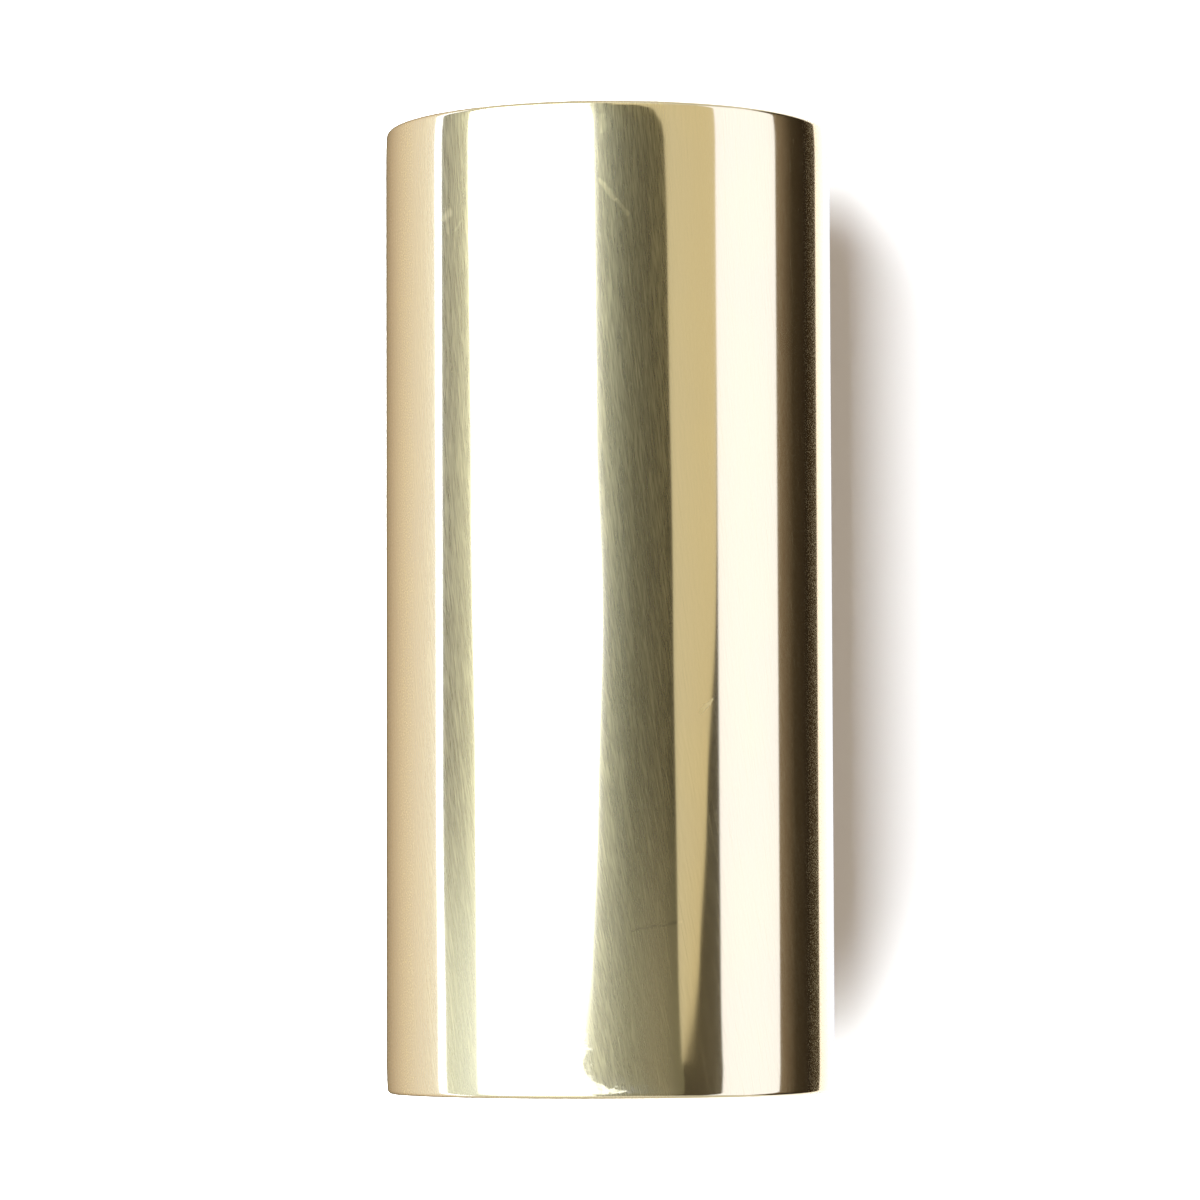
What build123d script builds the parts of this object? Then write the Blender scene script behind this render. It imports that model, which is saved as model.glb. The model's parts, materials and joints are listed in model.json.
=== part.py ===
from build123d import *
import os

# Guitar slide: one length of heavy-wall brass tube, lying on its side.
#
# Frame: millimetres, +Z up. The tube's axis runs along +Y, and the origin is on the axis, halfway
# along the tube, so the tube lies on the plane Z = -OUTER_RADIUS.

# Driving dimensions, mm.
LENGTH = 62.5          # over both end faces
OUTER_DIAMETER = 29.0  # playing surface
BORE_DIAMETER = 20.0   # where the finger goes
OUTER_ROUND = 0.3      # radius that breaks each outer corner
BORE_CHAMFER = 0.5     # 45 degree deburring chamfer at each mouth of the bore

OUTER_RADIUS = OUTER_DIAMETER / 2
BORE_RADIUS = BORE_DIAMETER / 2
WALL = OUTER_RADIUS - BORE_RADIUS


def corners_by_radius(section):
    """The section's corners, in groups from the one nearest the axis to the one furthest out."""
    return section.vertices().group_by(Axis.X)


def wall_section():
    """The wall cut along the tube, in the XY plane, on the +X side of the axis, which is Y."""
    wall = Pos(BORE_RADIUS + WALL / 2, 0) * Rectangle(WALL, LENGTH)
    wall = chamfer(corners_by_radius(wall)[0], BORE_CHAMFER)
    return fillet(corners_by_radius(wall)[-1], OUTER_ROUND)


def slide_tube():
    """The whole slide: the wall's section turned once about the tube's axis."""
    return revolve(wall_section(), Axis.Y)


os.makedirs("parts", exist_ok=True)
export_step(slide_tube(), "parts/slide_tube.step")
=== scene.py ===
import json
import math

import bpy
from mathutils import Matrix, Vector, noise


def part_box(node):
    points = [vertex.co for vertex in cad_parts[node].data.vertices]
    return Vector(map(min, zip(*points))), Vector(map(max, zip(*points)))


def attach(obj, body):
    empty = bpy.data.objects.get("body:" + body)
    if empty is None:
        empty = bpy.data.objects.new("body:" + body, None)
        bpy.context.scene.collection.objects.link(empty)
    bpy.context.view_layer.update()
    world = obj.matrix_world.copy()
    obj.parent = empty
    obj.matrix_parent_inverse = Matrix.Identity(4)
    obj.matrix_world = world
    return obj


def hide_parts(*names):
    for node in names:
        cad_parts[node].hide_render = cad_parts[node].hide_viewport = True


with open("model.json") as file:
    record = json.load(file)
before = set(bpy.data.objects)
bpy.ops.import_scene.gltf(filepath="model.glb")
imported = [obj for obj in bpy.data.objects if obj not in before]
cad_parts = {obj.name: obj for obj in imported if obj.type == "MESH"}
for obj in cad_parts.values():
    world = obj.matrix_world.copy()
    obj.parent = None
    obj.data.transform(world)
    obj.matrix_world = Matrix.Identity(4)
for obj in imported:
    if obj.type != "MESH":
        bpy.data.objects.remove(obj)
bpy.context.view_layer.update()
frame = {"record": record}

# Guitar slide: a heavy-wall brass tube on its side, polished by hand.
# Everything is in metres in the CAD frame: the tube's axis runs along Y through the origin, and
# +Z is up. Angles round the tube are measured from +Z towards +X.

MM = 0.001
NODE = "slide_tube"

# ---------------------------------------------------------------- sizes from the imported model
low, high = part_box(NODE)
CENTRE = (low + high) / 2
HALF_LENGTH = (high.y - low.y) / 2
RADIUS = min(high.x - low.x, high.z - low.z) / 2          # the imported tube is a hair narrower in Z
FLOOR_Z = low.z
bore_mount = next(m for m in frame["record"]["mounts"] if m["name"] == "bore")
BORE_RADIUS = bore_mount["dims"]["r_mm"] * MM

# ---------------------------------------------------------------- shape of the visual model
OUTER_ROUND = 0.30 * MM       # radius on the outer corners
BORE_CHAMFER = 0.50 * MM
BUFF_REACH = 2.6 * MM         # hand polishing lowers the surface this far in from each end
BUFF_SLOPE = 0.085            # and this steeply, in radians, at the corner
WAVE_DEPTH = 0.006 * MM       # how far hand polishing has left the surface below a true cylinder
AROUND = 480                  # segments round the tube

# ---------------------------------------------------------------- finish
BRASS = (0.87, 0.775, 0.545)
MIRROR_ROUGHNESS = 0.07
HAZE_SHARE = 0.32             # of the light that falls on the outside, how much the hairlines scatter
HAZE_LEAST = 0.24             # the least that they scatter, left of the top and on it
HAZE_SPARSE = 0.33            # right of the top, the part of that haze which is left
HAZE_TINT = (0.95, 0.83, 0.46)
HAZE_ROUGHNESS = (0.28, 0.32)           # at the far end, and at the near end, handled more
HAIRLINE_SWING = 2.5          # how much the slope of the hairlines grows per metre along the tube
PIT_HAZE = (0.34, 0.09)       # how much more the pits scatter along the underside's edges, and below
MARK_JITTER = 0.45            # how far the edges of the marks of use wander, mm


def linear(r, g, b):
    """A display colour, 0-255, as linear light."""
    def one(c):
        c /= 255
        return c / 12.92 if c <= 0.04045 else ((c + 0.055) / 1.055) ** 2.4
    return Vector((one(r), one(g), one(b)))


def smooth(t):
    t = min(1.0, max(0.0, t))
    return t * t * (3 - 2 * t)


# ================================================================ camera
# Fitted to the tube's outline in the photo: a long lens, almost straight above.
CAMERA_LENS = 161.557         # mm, on a 36 mm sensor
CAMERA_OFFSET = Vector((-1.5141, -21.5029, 349.8799)) * MM
CAMERA_TURN = (3.6318, -0.1394, -0.187)  # degrees

camera_data = bpy.data.cameras.new("camera")
camera_data.sensor_width = 36
camera_data.lens = CAMERA_LENS
camera_data.clip_start = 0.01
camera_data.clip_end = 10
camera = bpy.data.objects.new("camera", camera_data)
camera.location = CENTRE + CAMERA_OFFSET
camera.rotation_euler = [math.radians(a) for a in CAMERA_TURN]
bpy.context.scene.collection.objects.link(camera)
bpy.context.scene.camera = camera


# ================================================================ node helpers
class Nodes:
    """Short names for building one node tree."""

    def __init__(self, tree):
        self.tree = tree
        self.tree.nodes.clear()

    def add(self, kind, inputs=None, **settings):
        node = self.tree.nodes.new(kind)
        for name, value in settings.items():
            setattr(node, name, value)
        for name, value in (inputs or {}).items():
            self.put(node.inputs[name], value)
        return node

    def put(self, socket, value):
        if isinstance(value, bpy.types.NodeSocket):
            self.tree.links.new(value, socket)
        else:
            socket.default_value = value

    def math(self, operation, a, b=0.0, c=0.0, clamp=False):
        node = self.add("ShaderNodeMath", {0: a, 1: b, 2: c}, operation=operation, use_clamp=clamp)
        return node.outputs[0]

    def ramp(self, value, start, end, low=0.0, high=1.0):
        """A smooth step from low at start to high at end."""
        inputs = {"Value": value, "From Min": start, "From Max": end, "To Min": low, "To Max": high}
        node = self.add("ShaderNodeMapRange", inputs, interpolation_type="SMOOTHSTEP")
        return node.outputs["Result"]

    def noise(self, vector, scale, detail=1.0, roughness=0.5):
        """Soft noise, with scale cells to each unit of the vector."""
        inputs = {"Vector": vector, "Scale": scale, "Detail": detail, "Roughness": roughness}
        return self.add("ShaderNodeTexNoise", inputs).outputs["Fac"]

    def mix(self, factor, a, b):
        node = self.add("ShaderNodeMix", data_type="RGBA")
        self.put(node.inputs["Factor"], factor)
        self.put(node.inputs["A"], a)
        self.put(node.inputs["B"], b)
        return node.outputs["Result"]

    def metal(self, colour, roughness, normal):
        inputs = {"Base Color": colour, "Roughness": roughness, "Metallic": 1.0, "Normal": normal}
        return self.add("ShaderNodeBsdfPrincipled", inputs).outputs[0]

    def blend(self, factor, first, second):
        return self.add("ShaderNodeMixShader", {0: factor, 1: first, 2: second}).outputs[0]


def new_material(name):
    material = bpy.data.materials.new(name)
    material.use_nodes = True
    return material, Nodes(material.node_tree)


def colour4(c):
    return (*c, 1.0)


# ================================================================ brass materials
def streaks(n, position, tilt_deg, width, length, offset):
    """Noise drawn out into hairlines that wind round the tube, tilt_deg off its axis halfway along
    it. Their slope grows by HAIRLINE_SWING for each metre towards the near end."""
    y = n.add("ShaderNodeSeparateXYZ", {0: position}).outputs["Y"]
    slope = n.math("MULTIPLY_ADD", y, -HAIRLINE_SWING / 2, math.tan(math.radians(tilt_deg)))
    turn = n.math("DIVIDE", n.math("MULTIPLY", y, slope), RADIUS)
    wound = n.add("ShaderNodeVectorRotate", {"Vector": position, "Angle": turn}, rotation_type="Y_AXIS")
    inputs = {"Vector": wound.outputs[0],
              "Location": (offset, offset, offset),
              "Scale": (1 / width, 1 / length, 1 / width)}
    return n.noise(n.add("ShaderNodeMapping", inputs).outputs[0], 1.0)


def scratch(n, flat, start, end, width):
    """A short scratch between two points (around, along) in mm on the unrolled surface."""
    a, b = Vector((*start, 0)) * MM, Vector((*end, 0)) * MM
    ab = b - a
    rel = n.add("ShaderNodeVectorMath", {0: flat, 1: a}, operation="SUBTRACT").outputs[0]
    dot = n.add("ShaderNodeVectorMath", {0: rel, 1: ab / ab.length_squared}, operation="DOT_PRODUCT")
    t = n.math("ADD", dot.outputs["Value"], 0.0, clamp=True)
    near = n.add("ShaderNodeVectorMath", {0: ab, "Scale": t}, operation="SCALE").outputs[0]
    gap = n.add("ShaderNodeVectorMath", {0: rel, 1: near}, operation="DISTANCE").outputs["Value"]
    return n.ramp(gap, width * MM, 0.3 * width * MM)


# Marks of use on the outside: start and end as (around from the top, along) in mm, width in mm, and
# how much more of the light they scatter.
MARKS = [
    ((-0.55, 26.2), (0.35, 25.0), 0.22, 0.20),           # a scratch in two strokes
    ((0.45, 24.9), (1.20, 24.0), 0.20, 0.20),
    ((-11.70, 24.45), (-11.15, 24.70), 0.42, 0.22),      # a nick
    ((-11.35, 24.2), (-11.30, 23.4), 0.16, 0.16),
    ((-10.20, 24.1), (-10.65, 23.5), 0.14, 0.10),
    ((5.75, -7.2), (6.60, -6.4), 0.16, 0.60),
    ((1.30, -20.8), (2.70, -20.55), 0.11, -0.14),        # a fine line that scatters less light
    ((2.70, -20.55), (4.40, -20.3), 0.11, -0.14),
    ((-0.35, 30.3), (-0.35, 29.3), 0.25, 0.12),
]


def outside_brass():
    """Polished brass: a clear mirror under a thin, even haze of hairline scratches."""
    material, n = new_material("brass_polished_outside")
    position = n.add("ShaderNodeTexCoord").outputs["Object"]
    xyz = n.add("ShaderNodeSeparateXYZ", {0: position})
    around = n.math("MULTIPLY", n.math("ARCTAN2", xyz.outputs["X"], xyz.outputs["Z"]), RADIUS)
    flat = n.add("ShaderNodeCombineXYZ", {0: around, 1: xyz.outputs["Y"]}).outputs[0]

    # Hairlines of several sizes, each at its own angle to the axis.
    haze = HAZE_SHARE
    for tilt, width, length, offset, weight in (
            (7, 0.12, 2.3, 3.1, 0.38),
            (11, 0.085, 1.5, 7.7, 0.36),
            (-3, 0.10, 2.6, 13.9, 0.16),
            (4, 0.40, 9.0, 21.3, 0.20)):
        layer = streaks(n, position, tilt, width * MM, length * MM, offset)
        lines = n.ramp(layer, 0.35, 0.65, -0.5, 0.5)
        haze = n.math("MULTIPLY_ADD", lines, weight * HAZE_SHARE, haze)
    # The near half has been handled more: its haze is a little thinner, and spreads wider.
    handled = n.ramp(xyz.outputs["Y"], 15 * MM, -30 * MM)
    haze = n.math("MULTIPLY", haze, n.math("MULTIPLY_ADD", handled, -0.12, 1.0))
    haze = n.math("MAXIMUM", haze, HAZE_LEAST)
    # Right of the top there are few hairlines.
    haze = n.math("MULTIPLY", haze, n.ramp(around, 3.1 * MM, 4.3 * MM, 1.0, HAZE_SPARSE))
    # Single deeper hairlines, everywhere.
    single = n.ramp(streaks(n, position, 9, 0.11 * MM, 5 * MM, 41.7), 0.62, 0.76)
    haze = n.math("MULTIPLY_ADD", single, 0.11, haze)
    # The underside was polished less, and still has small pits, most of them along its edges.
    from_top = n.math("ABSOLUTE", around)
    pitted = n.math("MULTIPLY", n.ramp(from_top, 14.7 * MM, 15.6 * MM),
                    n.ramp(from_top, 16.3 * MM, 18.0 * MM, *PIT_HAZE))
    pits = n.ramp(n.noise(position, 7500, 1.0), 0.50, 0.66)
    haze = n.math("MULTIPLY_ADD", pits, pitted, haze)
    # Marks of use, with uneven edges. The jitter averages a half, so the marks are moved to match.
    jitter = n.add("ShaderNodeTexNoise", {"Vector": flat, "Scale": 1600.0, "Detail": 3.0})
    reach = (MARK_JITTER * MM, MARK_JITTER * MM, 0.0)
    uneven = n.add("ShaderNodeVectorMath", {0: jitter.outputs["Color"], 1: reach, 2: flat},
                   operation="MULTIPLY_ADD").outputs[0]
    worn = 0.0
    for start, end, width, depth in MARKS:
        start = [c + MARK_JITTER / 2 for c in start]
        end = [c + MARK_JITTER / 2 for c in end]
        worn = n.math("MULTIPLY_ADD", scratch(n, uneven, start, end, width), depth, worn)
    haze = n.math("ADD", haze, worn, clamp=True)
    # A few small knocks on top, beside the near rim.
    knocked = n.math("MULTIPLY", n.ramp(xyz.outputs["Y"], -26.5 * MM, -30 * MM),
                     n.ramp(n.math("ABSOLUTE", around), 3.6 * MM, 2.2 * MM))
    dents = n.math("MULTIPLY", n.noise(position, 1500, 2.0), knocked)
    bump = n.add("ShaderNodeBump", {"Strength": 1.0, "Distance": 0.012 * MM, "Height": dents})
    normal = bump.outputs[0]

    tint = n.ramp(n.noise(position, 160, 2.0, 0.55), 0.3, 0.7)
    colour = n.mix(tint, colour4(BRASS), colour4((0.85, 0.76, 0.55)))
    mirror = n.metal(colour, MIRROR_ROUGHNESS, normal)
    far_rough, near_rough = HAZE_ROUGHNESS
    spread = n.math("MULTIPLY_ADD", handled, near_rough - far_rough, far_rough)
    hairlines = n.metal(colour4(HAZE_TINT), spread, normal)
    n.add("ShaderNodeOutputMaterial", {"Surface": n.blend(haze, mirror, hairlines)})
    return material


def end_brass():
    """Square-cut end faces: fine concentric rings from the lathe, then a light polish."""
    material, n = new_material("brass_turned_end")
    position = n.add("ShaderNodeTexCoord").outputs["Object"]
    xyz = n.add("ShaderNodeSeparateXYZ", {0: position})
    out = n.add("ShaderNodeCombineXYZ", {0: xyz.outputs["X"], 1: xyz.outputs["Z"]}).outputs[0]
    radius = n.add("ShaderNodeVectorMath", {0: out}, operation="LENGTH").outputs["Value"]
    rings = n.add("ShaderNodeTexNoise", {"W": radius, "Scale": 9000.0, "Detail": 2.0},
                  noise_dimensions="1D")
    ring = rings.outputs["Fac"]
    blotch = n.noise(position, 700, 4.0, 0.6)
    height = n.math("MULTIPLY_ADD", blotch, 0.25, ring)
    bump = n.add("ShaderNodeBump", {"Strength": 0.6, "Distance": 0.010 * MM, "Height": height})
    colour = n.mix(n.ramp(blotch, 0.35, 0.7), colour4(BRASS), colour4((0.80, 0.69, 0.46)))
    roughness = n.math("MULTIPLY_ADD", ring, 0.16, 0.20)
    n.add("ShaderNodeOutputMaterial", {"Surface": n.metal(colour, roughness, bump.outputs[0])})
    return material


def bore_brass():
    """The bore as it was drawn: duller, with lines along it and a little tarnish."""
    material, n = new_material("brass_drawn_bore")
    position = n.add("ShaderNodeTexCoord").outputs["Object"]
    scaled = n.add("ShaderNodeMapping", {"Vector": position, "Scale": (5000, 160, 5000)}).outputs[0]
    lines = n.noise(scaled, 1.0, 3.0, 0.6)
    blotch = n.noise(position, 260, 4.0, 0.6)
    bump = n.add("ShaderNodeBump", {"Strength": 0.4, "Distance": 0.01 * MM, "Height": lines})
    colour = n.mix(n.ramp(blotch, 0.40, 0.72), colour4((0.82, 0.71, 0.47)), colour4((0.66, 0.53, 0.32)))
    roughness = n.math("MULTIPLY_ADD", blotch, 0.28, 0.22)
    n.add("ShaderNodeOutputMaterial", {"Surface": n.metal(colour, roughness, bump.outputs[0])})
    return material


# ================================================================ the tube
def buffed_drop(inset):
    """How far the polished surface lies below the cylinder, this far in from an end face."""
    if inset >= BUFF_REACH:
        return 0.0
    return BUFF_SLOPE * BUFF_REACH / 3 * (1 - inset / BUFF_REACH) ** 3


def outer_section():
    """(radius, y) along the outside, from the near end face to the far one."""
    half = []
    top = RADIUS - buffed_drop(OUTER_ROUND)
    corner_steps = 8
    for i in range(corner_steps + 1):                    # the rounded corner
        a = math.radians(90) * i / corner_steps
        half.append((top - OUTER_ROUND * (1 - math.sin(a)), OUTER_ROUND * (1 - math.cos(a))))
    inset = OUTER_ROUND
    fine, coarse = 0.15 * MM, 1.5 * MM
    while inset < BUFF_REACH:                            # the buffed edge
        inset += fine
        half.append((RADIUS - buffed_drop(inset), inset))
    inset += coarse
    plain = []
    while inset < 2 * HALF_LENGTH - BUFF_REACH - coarse:
        plain.append((RADIUS, inset))
        inset += coarse
    far = [(r, 2 * HALF_LENGTH - d) for r, d in reversed(half)]
    return [(r, d - HALF_LENGTH) for r, d in half + plain + far]


def waviness(angle, y):
    """0 to 1: where hand polishing has taken more off the outside."""
    p = Vector((math.sin(angle), y / RADIUS * 0.45, math.cos(angle)))
    return 0.5 + 0.35 * noise.noise(p * 2.3) + 0.15 * noise.noise(p * 6.1 + Vector((5, 1, 2)))


def unrolled(mesh, section):
    """UVs: the whole closed surface as one sheet, the bore at half size."""
    reach = [0.0]
    for (r0, y0, zone0), (r1, y1, zone1) in zip(section, section[1:] + section[:1]):
        scale = 0.5 if zone0 == zone1 == "bore" else 1.0
        reach.append(reach[-1] + scale * math.hypot(r1 - r0, y1 - y0))
    margin = 0.004
    uv = []
    for v0, v1 in zip(reach, reach[1:]):
        for k in range(AROUND):
            for u, v in ((k, v0), (k + 1, v0), (k + 1, v1), (k, v1)):
                uv += [margin + (1 - 2 * margin) * t for t in (u / AROUND, v / reach[-1])]
    mesh.uv_layers.new(name="OFBake").data.foreach_set("uv", uv)


def build_tube():
    """The whole tube as one closed surface, in rings: outside, far end, bore, near end. Rings
    close beside the edges keep the shading flat on the end faces."""
    outside = outer_section()
    face_in = BORE_RADIUS + BORE_CHAMFER
    face_out = outside[0][0]
    face = [face_out + (face_in - face_out) * t for t in (0.03, 0.25, 0.5, 0.75, 0.97)]
    soft = 0.04 * MM
    far = [(r, HALF_LENGTH) for r in face + [face_in]]
    bore_y = HALF_LENGTH - BORE_CHAMFER
    bore_rows = 14
    bore = [(BORE_RADIUS + soft, bore_y + soft), (BORE_RADIUS, bore_y - soft)]
    bore += [(BORE_RADIUS, bore_y * (1 - 2 * i / bore_rows)) for i in range(1, bore_rows)]
    bore += [(BORE_RADIUS, soft - bore_y), (BORE_RADIUS + soft, -bore_y - soft)]
    near = [(r, -HALF_LENGTH) for r in [face_in] + face[::-1]]

    section = [(r, y, "outside") for r, y in outside]
    section += [(r, y, "end") for r, y in far]
    section += [(r, y, "bore") for r, y in bore]
    section += [(r, y, "end") for r, y in near]

    vertices, faces, slots = [], [], []
    for r, y, zone in section:
        for k in range(AROUND):
            angle = 2 * math.pi * k / AROUND
            radius = r - (WAVE_DEPTH * waviness(angle, y) if zone == "outside" else 0.0)
            vertices.append((CENTRE.x + radius * math.sin(angle),
                             CENTRE.y + y,
                             CENTRE.z + radius * math.cos(angle)))
    rows = len(section)
    zone_slot = {"outside": 0, "end": 1, "bore": 2}
    for i in range(rows):
        j = (i + 1) % rows
        a, b = section[i][2], section[j][2]
        slot = zone_slot[a if a == b else ("end" if "outside" in (a, b) else "bore")]
        for k in range(AROUND):
            m = (k + 1) % AROUND
            faces.append((i * AROUND + k, i * AROUND + m, j * AROUND + m, j * AROUND + k))
            slots.append(slot)
    mesh = bpy.data.meshes.new("slide_tube_polished")
    mesh.from_pydata(vertices, [], faces)
    unrolled(mesh, section)
    mesh.polygons.foreach_set("material_index", slots)
    mesh.polygons.foreach_set("use_smooth", [True] * len(faces))
    mesh.update()
    for make in (outside_brass, end_brass, bore_brass):
        mesh.materials.append(make())
    tube = bpy.data.objects.new("slide_tube_polished", mesh)
    bpy.context.scene.collection.objects.link(tube)
    return tube


tube = build_tube()
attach(tube, "root")
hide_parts(NODE)


# ================================================================ studio
def reflect_only(obj):
    """Seen in the brass, and nowhere else: the studio's cards stand outside the picture."""
    obj.visible_camera = False
    obj.visible_diffuse = False
    obj.visible_transmission = False
    obj.visible_volume_scatter = False
    obj.visible_shadow = False


CARD_RADIUS = 400 * MM
CARD_END = 420                # how far the cards run each way along the tube, mm
NEAR_FADE = (4, -36)          # where the near colours start to show, and where only they do, mm


def along(points, y):
    """The angle at y of an edge given as (y, angle) points, smooth between them."""
    points = sorted(points)
    if y <= points[0][0]:
        return points[0][1]
    for (y0, a0), (y1, a1) in zip(points, points[1:]):
        if y <= y1:
            return a0 + (a1 - a0) * smooth((y - y0) / (y1 - y0)) if y1 > y0 else a1
    return points[-1][1]


def card_light(shown, neutral):
    """How bright a card must be for a brass mirror to show these display colours."""
    rgb = [linear(*c) for c in shown]
    if neutral:
        return rgb
    return [Vector([c / b / (1 - HAZE_SHARE) for c, b in zip(colour, BRASS)]) for colour in rgb]


def card(name, left, right, *shown, near=None, power=1.0, neutral=False):
    """A curved card round the tube between two edges. The brass shows these display colours in it,
    spaced evenly from its left edge to its right edge, and fades to the near ones, if given,
    towards the near end."""
    far_light = card_light(shown, neutral)
    near_light = card_light(near, neutral) if near else far_light
    peak = max(max(c) for c in far_light + near_light)
    spans = max(1, len(shown) - 1)
    across = 1 if len(shown) == 1 else 4 * spans
    # Rows along the tube, close together where the edges bend.
    stations = sorted({-CARD_END, -200, 250, CARD_END, *range(-134, 190, 6)})
    vertices, faces, colours = [], [], []
    for y in stations:
        a0, a1 = along(left, y), along(right, y)
        nearness = smooth((NEAR_FADE[0] - y) / (NEAR_FADE[0] - NEAR_FADE[1]))
        row = [f.lerp(n, nearness) for f, n in zip(far_light, near_light)]
        for k in range(across + 1):
            t = k / across
            a = math.radians(a0 + (a1 - a0) * t)
            vertices.append((CENTRE.x + CARD_RADIUS * math.sin(a), CENTRE.y + y * MM,
                             CENTRE.z + CARD_RADIUS * math.cos(a)))
            i = min(int(t * spans), spans - 1)
            light = row[i].lerp(row[min(i + 1, len(row) - 1)], t * spans - i)
            colours.append((*(light / peak), 1.0))
    for i in range(len(stations) - 1):
        for k in range(across):
            a = i * (across + 1) + k
            faces.append((a, a + 1, a + across + 2, a + across + 1))
    mesh = bpy.data.meshes.new(name)
    mesh.from_pydata(vertices, [], faces)
    layer = mesh.color_attributes.new("light", "FLOAT_COLOR", "POINT")
    layer.data.foreach_set("color", [c for colour in colours for c in colour])
    material, n = new_material(name)
    light = n.add("ShaderNodeAttribute", attribute_name="light").outputs["Color"]
    emission = n.add("ShaderNodeEmission", {"Color": light, "Strength": peak * power})
    n.add("ShaderNodeOutputMaterial", {"Surface": emission.outputs[0]})
    mesh.materials.append(material)
    obj = bpy.data.objects.new(name, mesh)
    bpy.context.scene.collection.objects.link(obj)
    reflect_only(obj)


# The edges, as (distance along the tube in mm, angle round it in degrees).
floor_edge = [(90, -99.2), (-2, -98.5), (-40, -97.2)]
strip_edge = [(90, -94.3), (-2, -93.8), (-40, -91.8)]
key_left = [(90, -75.5), (38, -73.8), (-2, -71.4), (-40, -71.0)]
key_right = [(160, -10), (100, -7.4), (44, -6.3), (24, -3.4), (-3, -6.0), (-28, -9.2), (-36, -14.5),
             (-58, -9), (-72, -7), (-84, 8), (-94, 8), (-110, -9)]
olive_right = [(170, 2), (155, 16), (125, 24), (96, 27.4), (72, 29.6), (24, 31.9), (-29, 33.8),
               (-37, 35.8), (-60, 37)]
tan_right = [(90, 56.1), (35, 55.6), (24, 55.0), (-3, 49.6), (-27, 44.7), (-33, 41.6), (-38, 35.9),
             (-60, 37)]
cream_left = [(88, 55.7), (24, 56.2), (-29, 56.8), (-40, 57.8)]
cream_right = [(90, 94.6), (-40, 95.0)]
feather_right = [(y, angle + 6) for y, angle in key_right]
shade_right = [(90, 122.9), (-30, 121.8)]
contact = [(90, 134.0), (-30, 133.8)]

# Painted shadow: the floor's contact shadow under the tube, as the brass reflects it, painted into this
# dim glowing card.
card("floor_left_contact_shade", [(0, -180)], [(0, -165.5)], (60, 46, 24), (78, 60, 34))
# Painted reflection of the lit floor on the left, with painted shade: it darkens towards the tube,
# where the tube keeps light off the floor.
card("floor_left_reflected", [(0, -165.5)], floor_edge,
     (112, 92, 60), (151, 129, 96), (177, 157, 124), (190, 174, 146), (192, 179, 153))
card("gap_left_reflected", floor_edge, strip_edge, (255, 255, 255), power=1.8)
card("strip_reflected", strip_edge, key_left, (56, 50, 28), (120, 114, 94), (132, 126, 106),
     near=((170, 168, 138), (180, 179, 156), (182, 182, 166)))
card("key_reflected", key_left, key_right, (236, 246, 255), near=((173, 181, 188),),
     power=4.4, neutral=True)
card("key_feathered_edge", key_right, feather_right, (158, 156, 158), (104, 103, 95), (96, 96, 82),
     near=((128, 126, 128), (112, 110, 102), (112, 110, 96)))
card("overhead_dark", feather_right, olive_right, (96, 96, 82), (66, 63, 48), (52, 48, 34), (22, 18, 8),
     near=((112, 110, 96), (104, 100, 78), (104, 96, 72), (84, 77, 52)))
card("wall_tan", olive_right, tan_right, (173, 158, 118), (171, 152, 106))
card("gap_dark", tan_right, cream_left, (18, 14, 8), (40, 32, 18),
     near=((48, 40, 25), (58, 48, 30)))
card("side_cream", cream_left, cream_right, (222, 214, 200))
card("floor_far_dark", cream_right, shade_right, (98, 78, 52), (44, 33, 17), (27, 18, 8))
card("floor_far_brown", shade_right, contact, (34, 23, 10), (54, 40, 19))
# Painted reflection of the lit floor on the right, with the tube's cast shadow painted in: it darkens
# towards straight down, beside the tube.
card("floor_right_reflected", contact, [(0, 180)],
     (240, 219, 184), (226, 222, 202), (212, 206, 186), (196, 186, 164))


# Floor: plain pale paper, which fades into the white background. The brass sees the cards instead.
FLOOR_ALBEDO = 0.80
FLOOR_REACH = 6.0             # how far the floor runs each way, metres
FADE_START, FADE_END = 0.08, 0.26       # metres from the middle of the tube


def build_floor():
    signs = ((-1, -1), (1, -1), (1, 1), (-1, 1))
    corners = [(x * FLOOR_REACH, y * FLOOR_REACH, FLOOR_Z) for x, y in signs]
    mesh = bpy.data.meshes.new("floor")
    mesh.from_pydata(corners, [], [(0, 1, 2, 3)])
    material, n = new_material("floor_paper")
    paper = n.add("ShaderNodeBsdfDiffuse", {"Color": colour4([FLOOR_ALBEDO] * 3)}).outputs[0]
    position = n.add("ShaderNodeTexCoord").outputs["Object"]
    away = n.add("ShaderNodeVectorMath", {0: position}, operation="LENGTH").outputs["Value"]
    backdrop = n.add("ShaderNodeEmission", {"Color": (1, 1, 1, 1), "Strength": 1.0}).outputs[0]
    faded = n.blend(n.ramp(away, FADE_START, FADE_END), paper, backdrop)
    n.add("ShaderNodeOutputMaterial", {"Surface": faded})
    mesh.materials.append(material)
    floor = bpy.data.objects.new("floor", mesh)
    bpy.context.scene.collection.objects.link(floor)
    floor.visible_glossy = False


build_floor()

# The large soft light on the left. The brass doesn't see it, and sees the card key_reflected instead.
KEY_SPAN = (-74, -4.8)        # degrees round the tube
KEY_LENGTH = 780 * MM         # along the tube
KEY_NEARER = 115 * MM         # how far its middle is from the tube's, towards the near end
KEY_POWER = 11.2              # watts
KEY_COLOUR = (0.90, 0.95, 1.0)


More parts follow.
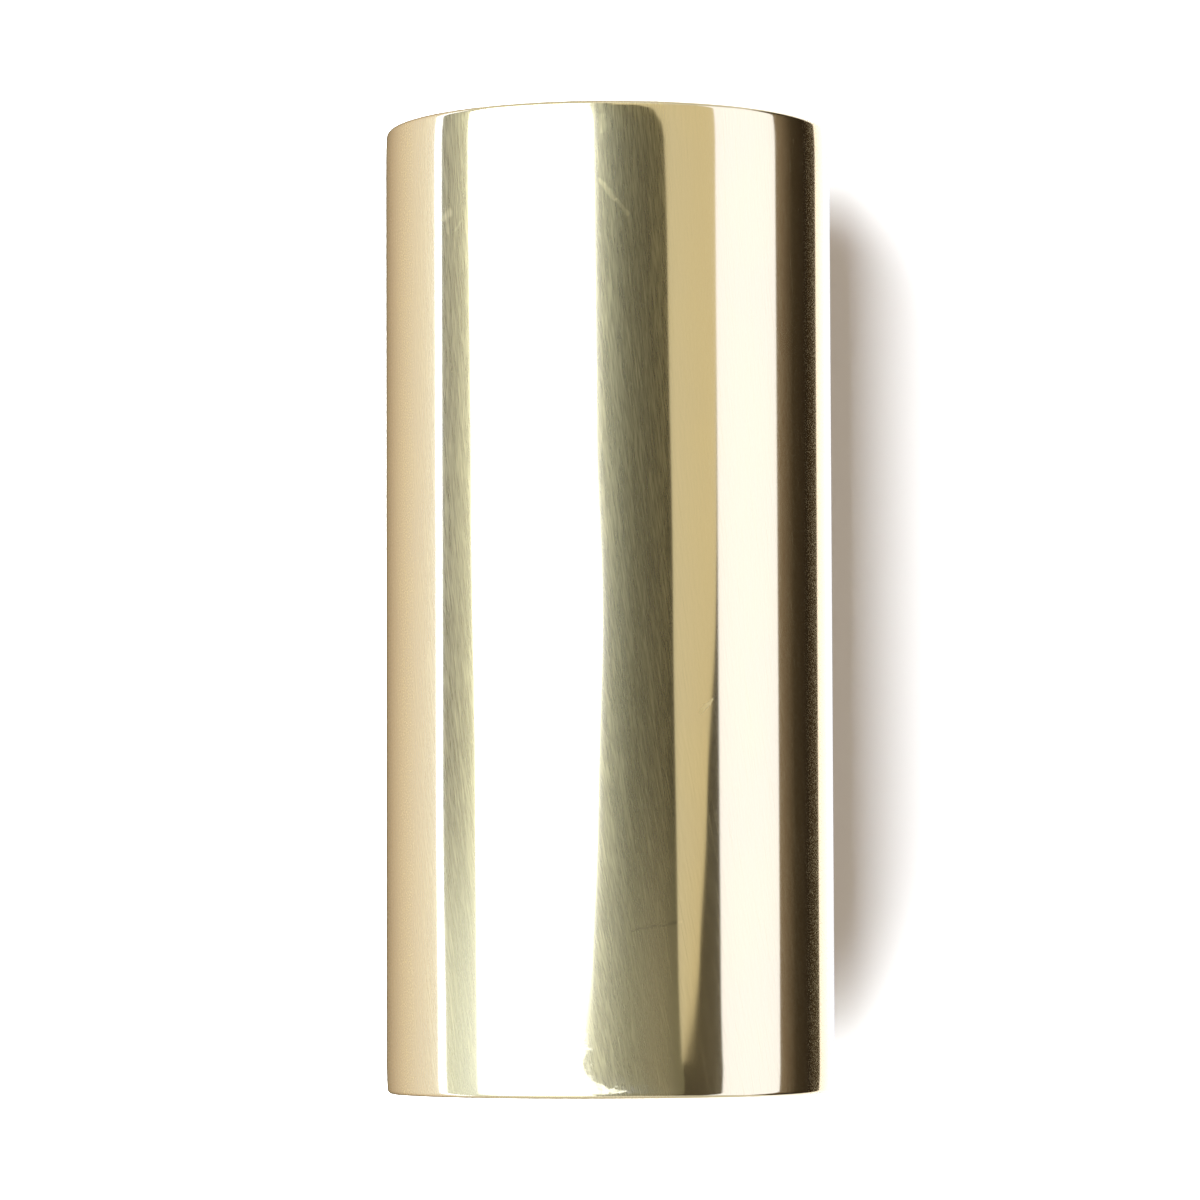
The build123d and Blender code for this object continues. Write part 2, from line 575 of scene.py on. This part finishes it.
def build_key_light():
    start, end = (math.radians(a) for a in KEY_SPAN)
    tilt, half_span = (start + end) / 2, (end - start) / 2
    distance = CARD_RADIUS * math.cos(half_span)
    light = bpy.data.lights.new("key_light", "AREA")
    light.shape = "RECTANGLE"
    light.size = 2 * CARD_RADIUS * math.sin(half_span)
    light.size_y = KEY_LENGTH
    light.energy = KEY_POWER
    light.color = KEY_COLOUR
    key = bpy.data.objects.new("key_light", light)
    key.location = CENTRE + Vector((math.sin(tilt) * distance, -KEY_NEARER, math.cos(tilt) * distance))
    key.rotation_euler = (0, tilt, 0)
    key.visible_glossy = False
    bpy.context.scene.collection.objects.link(key)


build_key_light()


# What the brass sees beyond the cards, from straight down (0) to straight up (1).
BEYOND_CARDS = ((0.0, (0.80, 0.76, 0.70)), (0.46, (0.72, 0.68, 0.60)), (0.54, (0.46, 0.44, 0.39)),
                (0.68, (0.78, 0.77, 0.74)), (1.0, (1.0, 1.0, 1.0)))
FILL_COLOUR = (1.0, 0.82, 0.68)          # of the weak light from all round, which fills the shadow
FILL_STRENGTH = 0.52


def build_world():
    """White for the camera, a weak warm fill for matt surfaces, and soft greys for reflections."""
    world = bpy.data.worlds.new("studio")
    world.use_nodes = True
    n = Nodes(world.node_tree)
    rays = n.add("ShaderNodeLightPath")
    direction = n.add("ShaderNodeTexCoord").outputs["Generated"]
    z = n.add("ShaderNodeSeparateXYZ", {0: direction}).outputs["Z"]
    height = n.math("MULTIPLY_ADD", z, 0.5, 0.5)
    ramp = n.add("ShaderNodeValToRGB", {"Fac": height})
    stops = ramp.color_ramp.elements
    for stop, (place, colour) in zip((stops[0], stops[1]), (BEYOND_CARDS[0], BEYOND_CARDS[-1])):
        stop.position, stop.color = place, colour4(colour)
    for place, colour in BEYOND_CARDS[1:-1]:
        stops.new(place).color = colour4(colour)
    fill = n.add("ShaderNodeBackground", {"Color": colour4(FILL_COLOUR), "Strength": FILL_STRENGTH})
    seen = n.add("ShaderNodeBackground", {"Color": (1, 1, 1, 1), "Strength": 1.0})
    glossy = n.add("ShaderNodeBackground", {"Color": ramp.outputs[0], "Strength": 1.0})
    shown = n.blend(rays.outputs["Is Camera Ray"], fill.outputs[0], seen.outputs[0])
    surface = n.blend(rays.outputs["Is Glossy Ray"], shown, glossy.outputs[0])
    n.add("ShaderNodeOutputWorld", {"Surface": surface})
    bpy.context.scene.world = world


build_world()
bpy.context.scene.view_settings.view_transform = "Standard"
